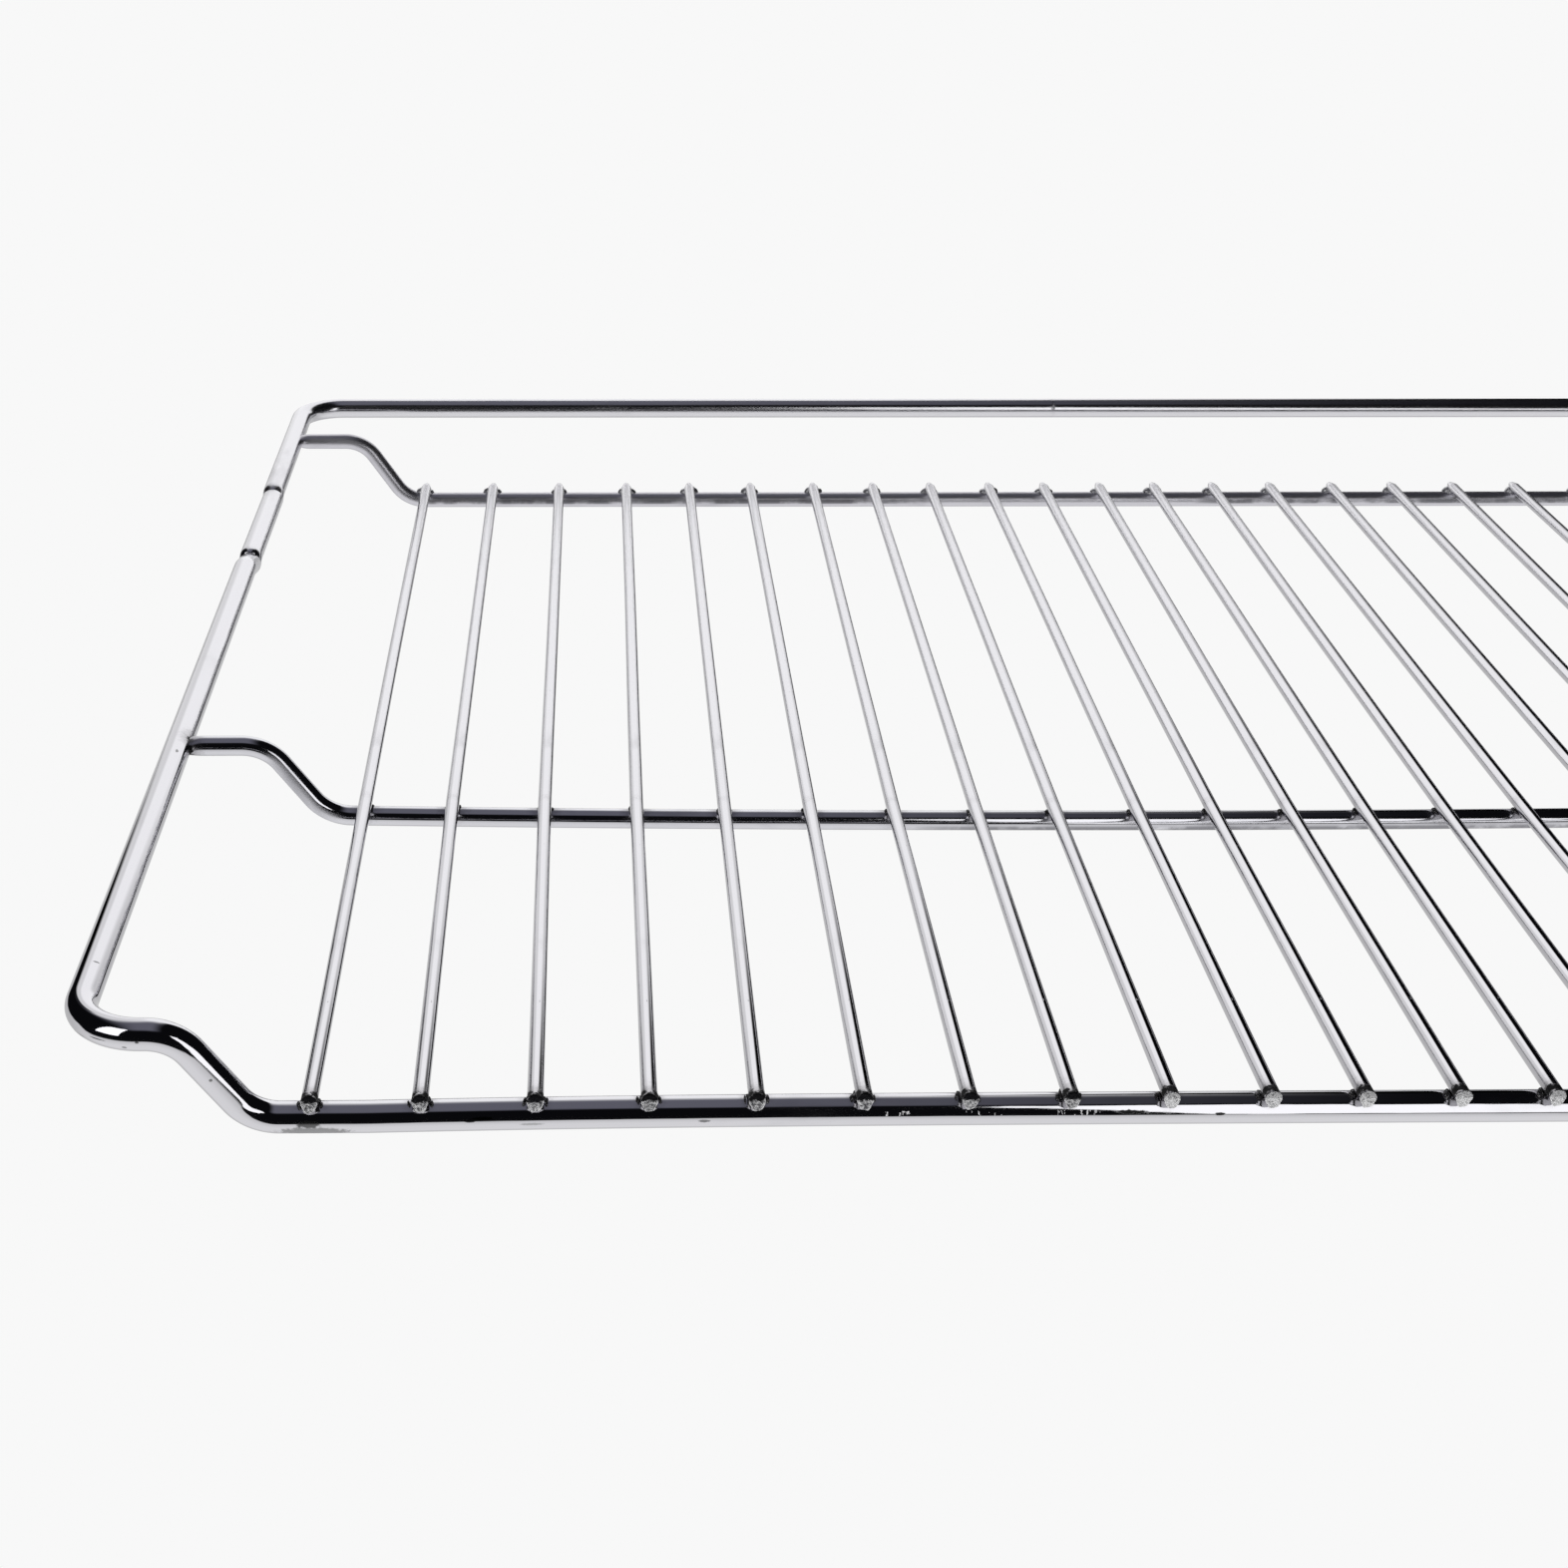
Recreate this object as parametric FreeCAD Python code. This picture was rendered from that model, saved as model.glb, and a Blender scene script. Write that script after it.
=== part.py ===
import FreeCAD, Part
import math
import os

# Wire shelf for a domestic oven, lying flat with its front towards -Y, in millimetres.
# A bent outer frame carries two cross rails, and a row of thin wires is welded on top of the rails.
# The origin is under the middle of the shelf, on the surface that it lies on.

# Overall sizes over the outside of the frame
overall_width = 466.0
overall_depth = 385.0

# Wire diameters
frame_dia = 5.7
rail_dia = 4.3
wire_dia = 2.9

# Height of the side bars above the thin wires, axis to axis
side_height = 14.3

# Frame: corners in the flat, then a double bend down and back to the front rail
corner_radius = 11.9
frame_bend_radius = 8.6
frame_shoulder = 0.75     # straight stretch between a front corner and the bend down
frame_bend_run = 11.8     # sideways travel of the slope, corner point to corner point
front_setback = 4.6       # front rail behind the raised shoulders

# Cross rails: raised ends butted to the side bars, then a double bend down under the thin wires
middle_rail_from_front = 117.0
rear_gap = 34.9           # back rail to rear bar, axis to axis
rail_bend_radius = 10.0
middle_rail_shoulder = 13.6   # straight raised end, from the side bar's axis
back_rail_shoulder = 16.1
rail_bend_run = 12.4

# Tip-stop notch pressed into each side bar with sharp creases, measured forward from the back rail
notch_from_back_rail = 101.6
notch_lead = 9.0          # way down, from the front
notch_depth = 1.9
notch_rise = 2.0          # steep way up, towards the back
notch_floor = 0.7         # the bar stays this much lower as far as the second kink
notch_length = 50.5       # from the notch to the second kink
notch_step_run = 3.0

# Thin wires: the gaps widen evenly from the middle to the sides
wire_count = 22
edge_gap = 39.2           # first wire to the side bar, axis to axis
gap_growth = 0.342        # each gap is this much wider than the one before it
front_overhang = 4.3      # cut ends past the front rail's axis
back_overhang = 3.3       # and past the back rail's axis

# Positions that follow from the sizes
frame_r = frame_dia / 2
rail_r = rail_dia / 2
wire_r = wire_dia / 2
side_x = overall_width / 2 - frame_r
shoulder_y = -overall_depth / 2 + frame_r
rear_y = overall_depth / 2 - frame_r
front_rail_y = shoulder_y + front_setback
middle_rail_y = front_rail_y + middle_rail_from_front
back_rail_y = rear_y - rear_gap
front_rail_z = frame_r
wire_z = front_rail_z + frame_r + wire_r
rail_z = wire_z - wire_r - rail_r
side_z = wire_z + side_height


def vec(x, y, z):
    return FreeCAD.Vector(x, y, z)


def tangent_length(before, corner, after, radius):
    """Length of straight wire that a bend of this radius uses up on each side of its corner point."""
    turn = (corner - before).getAngle(after - corner)
    return radius * math.tan(turn / 2)


def bent_path(points, radii):
    """Straight runs through the points, joined by a tangent arc at each inner point, or by a crease of radius 0."""
    edges = []
    start = points[0]
    for before, corner, after, radius in zip(points, points[1:], points[2:], radii):
        back = (before - corner).normalize()
        ahead = (after - corner).normalize()
        reach = tangent_length(before, corner, after, radius)
        first = corner + back * reach
        last = corner + ahead * reach
        edges.append(Part.LineSegment(start, first).toShape())
        if radius > 0:
            inward = (back + ahead).normalize()
            middle = corner + inward * (math.hypot(radius, reach) - radius)
            edges.append(Part.Arc(first, middle, last).toShape())
        start = last
    edges.append(Part.LineSegment(start, points[-1]).toShape())
    return Part.Wire(edges)


def bent_wire(points, radii, diameter):
    """Round wire swept along a bent path, mitred where the path has a crease."""
    path = bent_path(points, radii)
    seam = 20     # degrees around the wire, clear of the planes of the bends, where a seam can spoil a mitre
    section = Part.Wire(Part.makeCircle(diameter / 2, points[0], points[1] - points[0], seam, seam + 360))
    right_corner = 1
    return path.makePipeShell([section], True, False, right_corner)


def side_bar_points():
    """Corner points of the tip-stop notch in a side bar, from front to back."""
    notch_y = back_rail_y - notch_from_back_rail
    second_y = notch_y + notch_length
    return [
        vec(side_x, notch_y - notch_lead, side_z),
        vec(side_x, notch_y, side_z - notch_depth),
        vec(side_x, notch_y + notch_rise, side_z - notch_floor),
        vec(side_x, second_y, side_z - notch_floor),
        vec(side_x, second_y + notch_step_run, side_z),
    ]


def make_outer_frame():
    """One closed loop of wire: front rail, raised shoulders, side bars and rear bar."""
    rise = side_z - front_rail_z
    slope = vec(frame_bend_run, -front_setback, rise)
    turn = slope.getAngle(vec(1, 0, 0))
    bend_top_x = side_x - corner_radius - frame_shoulder - frame_bend_radius * math.tan(turn / 2)
    notch = side_bar_points()
    points = [
        vec(0, front_rail_y, front_rail_z),
        vec(bend_top_x - frame_bend_run, front_rail_y, front_rail_z),
        vec(bend_top_x, shoulder_y, side_z),
        vec(side_x, shoulder_y, side_z),
        *notch,
        vec(side_x, rear_y, side_z),
        vec(0, rear_y, side_z),
    ]
    radii = [frame_bend_radius, frame_bend_radius, corner_radius]
    radii += [0] * len(notch)
    radii += [corner_radius]
    half = bent_wire(points, radii, frame_dia)
    other_half = half.mirror(vec(0, 0, 0), vec(1, 0, 0))
    return half.fuse(other_half).removeSplitter()


def make_rail(y, shoulder, frame):
    """Cross rail with raised ends, coped to fit against the round side bars."""
    drop = side_z - rail_z
    turn = math.atan2(drop, rail_bend_run)
    bend_x = side_x - shoulder - rail_bend_radius * math.tan(turn / 2)
    low_x = bend_x - rail_bend_run
    points = [
        vec(-side_x, y, side_z),
        vec(-bend_x, y, side_z),
        vec(-low_x, y, rail_z),
        vec(low_x, y, rail_z),
        vec(bend_x, y, side_z),
        vec(side_x, y, side_z),
    ]
    rail = bent_wire(points, [rail_bend_radius] * 4, rail_dia)
    return rail.cut(frame)


def wire_positions():
    """X of each thin wire, with the gaps growing evenly from the middle outwards."""
    last = (wire_count - 1) / 2
    half_span = side_x - edge_gap
    growth = gap_growth / 2
    middle_gap = half_span / last - growth * last
    steps = [i - last for i in range(wire_count)]
    return [step * (middle_gap + growth * abs(step)) for step in steps]


def make_grid_wire(x):
    """Straight wire, cut square at both ends, lying on the front rail and the two cross rails."""
    front_y = front_rail_y - front_overhang
    length = back_rail_y + back_overhang - front_y
    return Part.makeCylinder(wire_r, length, vec(x, front_y, wire_z), vec(0, 1, 0))


outer_frame = make_outer_frame()
middle_rail = make_rail(middle_rail_y, middle_rail_shoulder, outer_frame)
back_rail = make_rail(back_rail_y, back_rail_shoulder, outer_frame)

nodes = {"outer_frame": outer_frame, "middle_rail": middle_rail, "back_rail": back_rail}
for number, x in enumerate(wire_positions(), start=1):
    nodes[f"grid_wire_{number:02d}"] = make_grid_wire(x)

os.makedirs("parts", exist_ok=True)
for name, shape in nodes.items():
    shape.exportStep(f"parts/{name}.step")
    box = shape.BoundBox
    print(f"{name}: {len(shape.Solids)} solid, valid {shape.isValid()}, {shape.Volume:.1f} mm3,",
          f"{box.XLength:.2f} x {box.YLength:.2f} x {box.ZLength:.2f} mm")
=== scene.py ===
import math
import random

import bpy
from mathutils import Matrix, Vector


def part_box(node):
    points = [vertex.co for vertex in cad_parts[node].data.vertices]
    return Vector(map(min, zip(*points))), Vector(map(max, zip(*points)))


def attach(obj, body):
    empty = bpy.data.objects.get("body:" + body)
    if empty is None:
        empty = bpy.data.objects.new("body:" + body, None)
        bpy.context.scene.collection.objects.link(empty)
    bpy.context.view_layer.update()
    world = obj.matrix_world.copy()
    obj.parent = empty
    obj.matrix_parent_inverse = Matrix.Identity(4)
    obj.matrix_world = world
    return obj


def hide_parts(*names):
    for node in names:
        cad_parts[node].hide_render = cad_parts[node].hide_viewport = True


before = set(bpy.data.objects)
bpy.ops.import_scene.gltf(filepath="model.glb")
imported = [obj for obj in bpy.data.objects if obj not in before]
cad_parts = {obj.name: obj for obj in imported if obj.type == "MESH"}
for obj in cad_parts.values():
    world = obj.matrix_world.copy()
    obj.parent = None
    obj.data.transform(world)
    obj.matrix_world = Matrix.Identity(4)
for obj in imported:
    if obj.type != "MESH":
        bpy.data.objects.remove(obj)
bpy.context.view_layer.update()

# ---------------------------------------------------------------- sizes, in metres
MM = 0.001
FRAME_RADIUS = 2.85 * MM
RAIL_RADIUS = 2.15 * MM
WIRE_RADIUS = 1.45 * MM
CORNER_BEND = 11.9 * MM
FRAME_BEND = 8.6 * MM
RAIL_BEND = 10.0 * MM
SHOULDER_RUN = 0.75 * MM
DROP_RUN = 11.8 * MM
MIDDLE_RAIL_SHOULDER = 13.6 * MM
BACK_RAIL_SHOULDER = 16.1 * MM
RAIL_DROP_RUN = 12.4 * MM
FRONT_SETBACK = 4.6 * MM

# Tip-stop notch of a side bar; each crease in millimetres: way behind the notch, depth, bend radius
NOTCH_FROM_BACK_RAIL = 101.6 * MM
NOTCH_CREASES = [(-9.0, 0.0, 12.0), (0.0, 1.9, 1.8), (2.0, 0.8, 2.0), (50.8, 1.0, 2.2), (52.8, 0.0, 2.8)]

# How this shelf has bent in use
LOW_RUN = 0.181                 # from the middle to the ends of the lowered runs
FRONT_BOW = 1.5 * MM            # ends of the front rail, forward of its middle
FRONT_BOW_MIDDLE = 0.4 * MM     # and its middle, backward
RAIL_SAG = 1.6 * MM             # ends of the middle rail, above its middle
RAIL_SAG_MIDDLE = 0.4 * MM      # and its middle, downward
BAR_LEAN = 0.65 * MM            # side bars, inward over the lean's run
BAR_LEAN_FROM = -0.177
BAR_LEAN_RUN = 0.312
REAR_BAR_MIDDLE = 0.05          # nothing leans this close to the middle

frame_low, frame_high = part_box("outer_frame")
SIDE_X = frame_high.x - FRAME_RADIUS
SHOULDER_Y = frame_low.y + FRAME_RADIUS
REAR_Y = frame_high.y - FRAME_RADIUS
SIDE_Z = frame_high.z - FRAME_RADIUS
FRONT_Y = SHOULDER_Y + FRONT_SETBACK
FRONT_Z = frame_low.z + FRAME_RADIUS


def middle_of(node):
    low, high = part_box(node)
    return (low + high) / 2


WIRE_NODES = sorted(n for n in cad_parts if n.startswith("grid_wire_"))
MIDDLE_RAIL_Y = middle_of("middle_rail").y
BACK_RAIL_Y = middle_of("back_rail").y
RAIL_YS = (FRONT_Y, MIDDLE_RAIL_Y, BACK_RAIL_Y)
RAIL_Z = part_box("middle_rail")[0].z + RAIL_RADIUS


# ---------------------------------------------------------------- node building
FLOAT, COUNT, VECTOR = "NodeSocketFloat", "NodeSocketInt", "NodeSocketVector"
GEOMETRY, OBJECT, MATERIAL = "NodeSocketGeometry", "NodeSocketObject", "NodeSocketMaterial"


def feed(tree, socket, value):
    """Links a socket to another one, or sets its own value."""
    if isinstance(value, bpy.types.NodeSocket):
        tree.links.new(value, socket)
    else:
        socket.default_value = value


def add_node(tree, kind, values=None, **settings):
    """A node with its settings, and with values on its sockets where they aren't None."""
    node = tree.nodes.new(kind)
    for name, value in settings.items():
        setattr(node, name, value)
    for key, value in (values or {}).items():
        if value is not None:
            feed(tree, node.inputs[key], value)
    return node


def math_of(tree, operation, a, b=None, c=None, clamp=False):
    node = add_node(tree, "ShaderNodeMath", {0: a, 1: b, 2: c}, operation=operation, use_clamp=clamp)
    return node.outputs[0]


def product(tree, value, *others):
    for other in others:
        value = math_of(tree, "MULTIPLY", value, other)
    return value


def add_share(tree, base, mask, amount):
    """The base, plus the amount where the mask is set."""
    return math_of(tree, "MULTIPLY_ADD", mask, amount, base)


def vector_of(tree, operation, a, b=None, scale=None):
    node = add_node(tree, "ShaderNodeVectorMath", {0: a, 1: b, "Scale": scale}, operation=operation)
    return node.outputs["Value" if operation == "LENGTH" else "Vector"]


def parts_of(tree, vector):
    return add_node(tree, "ShaderNodeSeparateXYZ", {0: vector}).outputs


def joined(tree, x=None, y=None, z=None):
    return add_node(tree, "ShaderNodeCombineXYZ", {0: x, 1: y, 2: z}).outputs[0]


def ramp_of(tree, value, low, high, out_low=0.0, out_high=1.0):
    """A smooth step from one output to the other, while the value goes from low to high."""
    node = add_node(tree, "ShaderNodeMapRange", {
        "Value": value, "From Min": low, "From Max": high, "To Min": out_low, "To Max": out_high},
        interpolation_type="SMOOTHSTEP")
    return node.outputs["Result"]


def mix_value(tree, share, a, b):
    return add_node(tree, "ShaderNodeMix", {0: share, 2: a, 3: b}, data_type="FLOAT").outputs[0]


def mix_colour(tree, share, a, b):
    return add_node(tree, "ShaderNodeMix", {0: share, 6: a, 7: b}, data_type="RGBA").outputs[2]


def noise_of(tree, vector, scale, detail, roughness, output=0):
    node = add_node(tree, "ShaderNodeTexNoise", {
        "Vector": vector, "Scale": scale, "Detail": detail, "Roughness": roughness})
    return node.outputs[output]


def push_of(tree, vector, scale, detail, roughness, amount):
    """A push to any side by chance, of up to half the amount."""
    cloud = noise_of(tree, vector, scale, detail, roughness, "Color")
    return vector_of(tree, "SCALE", vector_of(tree, "SUBTRACT", cloud, (0.5, 0.5, 0.5)), scale=amount)


def place_of(tree):
    """Place on the object, for a shader."""
    return add_node(tree, "ShaderNodeTexCoord").outputs["Object"]


def attribute_of(tree, name, output="Vector"):
    """A stored attribute, for a shader."""
    return add_node(tree, "ShaderNodeAttribute", attribute_name=name).outputs[output]


def position(tree):
    return add_node(tree, "GeometryNodeInputPosition").outputs[0]


def stored(tree, name, data_type="FLOAT"):
    """A stored attribute, for a shape."""
    return add_node(tree, "GeometryNodeInputNamedAttribute", {"Name": name}, data_type=data_type).outputs[0]


def store(tree, geometry, name, value, data_type="FLOAT"):
    return add_node(tree, "GeometryNodeStoreNamedAttribute", {
        "Geometry": geometry, "Name": name, "Value": value}, data_type=data_type).outputs[0]


def moved(tree, geometry, offset):
    return add_node(tree, "GeometryNodeSetPosition", {"Geometry": geometry, "Offset": offset}).outputs[0]


def coated(tree, geometry, metal):
    """The shape shaded smooth, as plain geometry and with its metal."""
    smooth = add_node(tree, "GeometryNodeSetShadeSmooth", {"Geometry": geometry}).outputs[0]
    real = add_node(tree, "GeometryNodeRealizeInstances", {"Geometry": smooth}).outputs[0]
    return add_node(tree, "GeometryNodeSetMaterial", {"Geometry": real, "Material": metal}).outputs[0]


def group_tree(name, kind, inputs, outputs):
    tree = bpy.data.node_groups.new(name, kind)
    for label, socket_type, value in inputs:
        socket = tree.interface.new_socket(label, in_out="INPUT", socket_type=socket_type)
        if value is not None:
            socket.default_value = value
    for label, socket_type in outputs:
        tree.interface.new_socket(label, in_out="OUTPUT", socket_type=socket_type)
    return tree, tree.nodes.new("NodeGroupInput").outputs, tree.nodes.new("NodeGroupOutput").inputs


def placed_group(tree, group, values):
    return add_node(tree, "ShaderNodeGroup", values, node_tree=group).outputs


# ---------------------------------------------------------------- finishes
SOOT = (0.010, 0.010, 0.011, 1)
BLACK_SCALE = (0.012, 0.012, 0.014, 1)
HEAT_TINT = (0.20, 0.19, 0.20, 1)
PIT_TINT = (0.10, 0.10, 0.11, 1)
# Colour of the painted dark reflection on the rails.
PAINTED_REFLECTION_TINT = (0.207, 0.205, 0.224, 1)
# Near-white colour of the painted glints on small dents.
PAINTED_GLINT_TINT = (0.95, 0.95, 0.95, 1)

# Soft edges of a rail's lowered run and of its slopes, in metres from the middle
LOW_RUN_EDGE = (0.193, 0.188)
SLOPE_INNER_EDGE = (0.194, 0.198)
SLOPE_OUTER_EDGE = (0.213, 0.209)


def drawn_wire_marks():
    """Fine lines along a wire, dull patches, small pits and waves, on the wire's own length and ring."""
    tree, given, made = group_tree(
        "drawn_wire_marks", "ShaderNodeTree",
        [("Line scale", FLOAT, 2600.0), ("Line stretch", FLOAT, 0.012), ("Patch scale", FLOAT, 60.0),
         ("Patch share", FLOAT, 0.5), ("Pit scale", FLOAT, 700.0), ("Pit share", FLOAT, 0.78),
         ("Offset", FLOAT, 0.0)],
        [("Lines", FLOAT), ("Patches", FLOAT), ("Pits", FLOAT), ("Waves", FLOAT)])
    around = parts_of(tree, attribute_of(tree, "ring"))
    along = math_of(tree, "ADD", attribute_of(tree, "along", "Fac"), given["Offset"])

    def grain_on_wire(stretch, scale, detail, roughness):
        spot = joined(tree, around[0], around[1], product(tree, along, stretch))
        return noise_of(tree, spot, scale, detail, roughness)

    def over(grain, share, softness):
        return ramp_of(tree, grain, share, math_of(tree, "ADD", share, softness))

    lines = grain_on_wire(given["Line stretch"], given["Line scale"], 3.0, 0.6)
    patches = grain_on_wire(0.35, given["Patch scale"], 4.0, 0.62)
    pits = grain_on_wire(0.6, given["Pit scale"], 2.0, 0.55)
    tree.links.new(ramp_of(tree, lines, 0.3, 0.7), made["Lines"])
    tree.links.new(over(patches, given["Patch share"], 0.16), made["Patches"])
    tree.links.new(over(pits, given["Pit share"], 0.05), made["Pits"])
    tree.links.new(grain_on_wire(0.25, 180.0, 1.0, 0.4), made["Waves"])
    return tree


def weld_scorch():
    """Soot and heat colour close to a weld, ragged at the edge."""
    tree, given, made = group_tree(
        "weld_scorch", "ShaderNodeTree",
        [("Soot reach", FLOAT, 1.6 * MM), ("Heat reach", FLOAT, 4.5 * MM), ("Ragged", FLOAT, 1.2 * MM),
         ("Grain", FLOAT, 1500.0)],
        [("Soot", FLOAT), ("Heat", FLOAT)])
    grain = noise_of(tree, place_of(tree), given["Grain"], 3.0, 0.6)
    push = product(tree, math_of(tree, "SUBTRACT", grain, 0.5), given["Ragged"], 2.0)
    edge = math_of(tree, "ADD", attribute_of(tree, "weld_distance", "Fac"), push)
    for label, full in (("Soot", 0.55), ("Heat", 0.3)):
        reach = given[label + " reach"]
        tree.links.new(ramp_of(tree, edge, reach, product(tree, reach, full)), made[label])
    return tree


def smudge_at():
    """One mark at a place on the wire, with its own reach and a ragged edge."""
    tree, given, made = group_tree(
        "smudge_at", "ShaderNodeTree",
        [("Place", VECTOR, (0.0, 0.0, 0.0)), ("Reach", VECTOR, (MM, MM, MM)), ("Ragged", FLOAT, 0.5),
         ("Grain", FLOAT, 1200.0)],
        [("Mask", FLOAT)])
    place = place_of(tree)
    away = vector_of(tree, "DIVIDE", vector_of(tree, "SUBTRACT", place, given["Place"]), given["Reach"])
    grain = math_of(tree, "SUBTRACT", noise_of(tree, place, given["Grain"], 4.0, 0.65), 0.5)
    edge = add_share(tree, vector_of(tree, "LENGTH", away), grain, product(tree, given["Ragged"], 2.0))
    tree.links.new(ramp_of(tree, edge, 1.0, 0.6), made["Mask"])
    return tree


def dents_with_painted_glints():
    """Fine dents on a rail, in a stretch of its length and a band of its round, with painted glints: a
    near-white colour and a rougher finish stand in for the light the dents catch.
    """
    tree, given, made = group_tree(
        "dents_with_painted_glints", "ShaderNodeTree",
        [("From", FLOAT, -0.1), ("To", FLOAT, -0.05), ("Level", FLOAT, 0.25), ("Band", FLOAT, 0.2),
         ("Grain", FLOAT, 1500.0)],
        [("Glinting dents", FLOAT)])
    x, y, _ = parts_of(tree, place_of(tree))
    _, out, level = parts_of(tree, attribute_of(tree, "end_spot"))
    upright = joined(tree, x, product(tree, level, 0.0009))
    grain = ramp_of(tree, noise_of(tree, upright, given["Grain"], 2.0, 0.5), 0.60, 0.66)
    cluster = ramp_of(tree, noise_of(tree, upright, 130.0, 1.0, 0.5), 0.42, 0.60)
    away = math_of(tree, "ABSOLUTE", math_of(tree, "SUBTRACT", level, given["Level"]))
    band = ramp_of(tree, away, given["Band"], product(tree, given["Band"], 0.6))
    limits = [math_of(tree, "GREATER_THAN", x, given["From"]), math_of(tree, "LESS_THAN", x, given["To"]),
              math_of(tree, "LESS_THAN", out, -0.5), math_of(tree, "LESS_THAN", y, -0.18)]
    tree.links.new(product(tree, grain, cluster, band, *limits), made["Glinting dents"])
    return tree


WIRE_MARKS = drawn_wire_marks()
SCORCH = weld_scorch()
SMUDGE = smudge_at()
DENT_GLINTS = dents_with_painted_glints()


def finish_start(name):
    material = bpy.data.materials.new(name)
    material.use_nodes = True
    tree = material.node_tree
    tree.nodes.clear()
    shader = tree.nodes.new("ShaderNodeBsdfPrincipled")
    add_node(tree, "ShaderNodeOutputMaterial", {0: shader.outputs[0]})
    return material, tree, shader


def finish_end(tree, shader, colour, roughness, metallic=1.0, height=None):
    """Feeds the shader of a finish; the height of its relief is in metres."""
    feed(tree, shader.inputs["Base Color"], colour)
    feed(tree, shader.inputs["Roughness"], roughness)
    feed(tree, shader.inputs["Metallic"], metallic)
    if height is not None:
        relief = add_node(tree, "ShaderNodeBump", {"Height": height, "Strength": 1.0, "Distance": 1.0})
        tree.links.new(relief.outputs[0], shader.inputs["Normal"])


def chrome_plate(name, bright, dull, rough, far_rough, marks, scorch, bump, wear=(), painted_reflection_strip=None,
                 scuffed_slopes=False, dent_glints=None):
    """Bright chrome plate over drawn wire: softer to the back, scorched beside the welds, worn in places.

    The bump heights are those of the drawn lines, the waves and the pits.
    Each wear mark is a place and a reach in millimetres, how ragged it is, its shade and its roughness.
    A painted dark reflection, a darker grey band with a rougher finish, lies on the lowered run, some way
    off its middle, between two edges on the wire's round.
    """
    material, tree, shader = finish_start(name)
    place = place_of(tree)
    x, y, _ = parts_of(tree, place)
    from_middle = math_of(tree, "ABSOLUTE", x)
    sideways, _, level = parts_of(tree, attribute_of(tree, "end_spot"))
    mark = placed_group(tree, WIRE_MARKS, marks)
    burn = placed_group(tree, SCORCH, scorch)
    worn = product(tree, mark["Patches"], 0.55)
    metal = mix_colour(tree, worn, bright, dull)
    metal = mix_colour(tree, product(tree, burn["Heat"], 0.5), metal, HEAT_TINT)
    metal = mix_colour(tree, product(tree, mark["Pits"], 0.4), metal, PIT_TINT)
    roughness = math_of(tree, "ADD", rough, ramp_of(tree, y, -0.12, 0.14, 0.0, far_rough))
    roughness = add_share(tree, roughness, mark["Lines"], 0.03)
    roughness = add_share(tree, roughness, worn, 0.16)
    line_height, wave_height, pit_depth = bump
    height = product(tree, mark["Lines"], line_height)
    height = add_share(tree, height, mark["Waves"], wave_height)
    height = add_share(tree, height, mark["Pits"], -pit_depth)
    # Painted dark reflection: a darker, rougher grey band that makes the chrome look as if it mirrored dark
    # surroundings here.
    if painted_reflection_strip is not None:
        off_middle = math_of(tree, "ABSOLUTE", math_of(tree, "SUBTRACT", x, painted_reflection_strip["middle"]))
        clouds = noise_of(tree, place, 120.0, 4.0, 0.6)
        painted_dark_reflection = product(
            tree, ramp_of(tree, level, *painted_reflection_strip["upper edge"]),
            ramp_of(tree, off_middle, *painted_reflection_strip["way"]),
            ramp_of(tree, level, *painted_reflection_strip["lower edge"]),
            ramp_of(tree, from_middle, *LOW_RUN_EDGE), ramp_of(tree, clouds, 0.30, 0.55))
        metal = mix_colour(tree, product(tree, painted_dark_reflection, 0.92), metal, PAINTED_REFLECTION_TINT)
        roughness = add_share(tree, roughness, painted_dark_reflection, 0.14)
    if scuffed_slopes:
        # The bending tool has scuffed the outside of the slopes.
        inwards = product(tree, sideways, ramp_of(tree, x, -0.01, 0.01, 0.82, -0.82))
        facing = add_share(tree, inwards, level, 0.57)
        scuffed = product(tree, ramp_of(tree, from_middle, *SLOPE_INNER_EDGE),
                          ramp_of(tree, from_middle, *SLOPE_OUTER_EDGE), ramp_of(tree, facing, 0.42, 0.20))
        roughness = add_share(tree, roughness, scuffed, 0.30)
    if dent_glints is not None:
        # Painted glints: small dents get a near-white colour and a rougher finish that stand in for the
        # light they catch.
        glinting_dents = placed_group(tree, DENT_GLINTS, dent_glints)["Glinting dents"]
        metal = mix_colour(tree, glinting_dents, metal, PAINTED_GLINT_TINT)
        roughness = add_share(tree, roughness, glinting_dents, 0.4)
        height = add_share(tree, height, glinting_dents, -0.08 * MM)
    for spot, reach, ragged, shade, softness in wear:
        smudge = {"Place": Vector(spot) * MM, "Reach": Vector(reach) * MM, "Ragged": ragged,
                  "Grain": 1200.0}
        mask = placed_group(tree, SMUDGE, smudge)["Mask"]
        metal = mix_colour(tree, mask, metal, (shade, shade, shade * 1.03, 1))
        roughness = add_share(tree, roughness, mask, softness)
    metal = mix_colour(tree, burn["Soot"], metal, SOOT)
    roughness = add_share(tree, roughness, burn["Heat"], 0.12)
    roughness = math_of(tree, "MULTIPLY_ADD", burn["Soot"], 0.45, roughness, clamp=True)
    finish_end(tree, shader, metal, roughness, height=height)
    return material


def burnt_weld_metal():
    """Weld metal squeezed out at a crossing: black scale with a few bright broken edges."""
    material, tree, shader = finish_start("burnt_weld_metal")
    place = place_of(tree)
    scale = noise_of(tree, place, 2400.0, 4.0, 0.65)
    shine = ramp_of(tree, noise_of(tree, place, 3600.0, 2.0, 0.5), 0.56, 0.66)
    dark = mix_colour(tree, ramp_of(tree, scale, 0.35, 0.7), BLACK_SCALE, (0.075, 0.07, 0.072, 1))
    finish_end(tree, shader, mix_colour(tree, shine, dark, (0.42, 0.42, 0.43, 1)),
               mix_value(tree, shine, 0.5, 0.24), mix_value(tree, shine, 0.7, 1.0),
               height=product(tree, scale, 0.25 * MM))
    return material


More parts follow.
